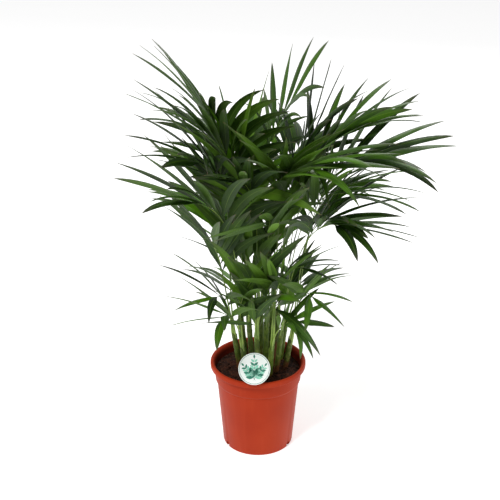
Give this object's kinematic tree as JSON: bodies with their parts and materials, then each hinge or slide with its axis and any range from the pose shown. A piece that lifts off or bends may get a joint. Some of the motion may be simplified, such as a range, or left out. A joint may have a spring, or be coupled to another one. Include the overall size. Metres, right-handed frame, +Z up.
{
  "type": "potted areca palm",
  "caption": "Feathery palm with arching pinnate fronds on slender canes, growing from soil in a round tapered plastic nursery pot with a plant label.",
  "frame": {"origin": "centre of the pot's underside, on the flat disc in the middle of the base", "axes": "+Z up along the pot's axis, +X to the right and -Y to the front, the side with the label"},
  "size_m": [0.559, 0.5056, 0.7192],
  "materials": {
    "pot_plastic": "terracotta-coloured moulded polypropylene, satin",
    "potting_soil": "moist peat and fibre, rough",
    "label_card": null,
    "cane_sheath": "smooth green leaf sheaths, papery brown at the foot",
    "palm_leaf": "glossy leaf with fine parallel veins on a yellow-green stalk"
  },
  "bodies": {
    "root": {"pot": "pot_plastic", "soil": "potting_soil", "label": "label_card", "cane_01": "cane_sheath", "cane_02": "cane_sheath", "cane_03": "cane_sheath", "cane_04": "cane_sheath", "cane_05": "cane_sheath", "cane_06": "cane_sheath", "cane_07": "cane_sheath", "cane_08": "cane_sheath", "cane_09": "cane_sheath", "cane_10": "cane_sheath", "cane_11": "cane_sheath", "cane_12": "cane_sheath", "cane_13": "cane_sheath", "cane_14": "cane_sheath", "frond_01": "palm_leaf", "frond_02": "palm_leaf", "frond_03": "palm_leaf", "frond_04": "palm_leaf", "frond_05": "palm_leaf", "frond_06": "palm_leaf", "frond_07": "palm_leaf", "frond_08": "palm_leaf", "frond_09": "palm_leaf", "frond_10": "palm_leaf", "frond_11": "palm_leaf", "frond_12": "palm_leaf", "frond_13": "palm_leaf", "frond_14": "palm_leaf", "frond_15": "palm_leaf", "frond_16": "palm_leaf", "frond_17": "palm_leaf", "frond_18": "palm_leaf", "frond_19": "palm_leaf", "frond_20": "palm_leaf", "frond_21": "palm_leaf", "frond_22": "palm_leaf", "frond_23": "palm_leaf", "frond_24": "palm_leaf", "frond_25": "palm_leaf", "frond_26": "palm_leaf", "frond_27": "palm_leaf", "frond_28": "palm_leaf", "frond_29": "palm_leaf", "frond_30": "palm_leaf", "frond_31": "palm_leaf", "frond_32": "palm_leaf", "frond_33": "palm_leaf", "frond_34": "palm_leaf", "frond_35": "palm_leaf", "frond_36": "palm_leaf", "frond_37": "palm_leaf", "frond_38": "palm_leaf", "frond_39": "palm_leaf"}
  },
  "joints": []
}
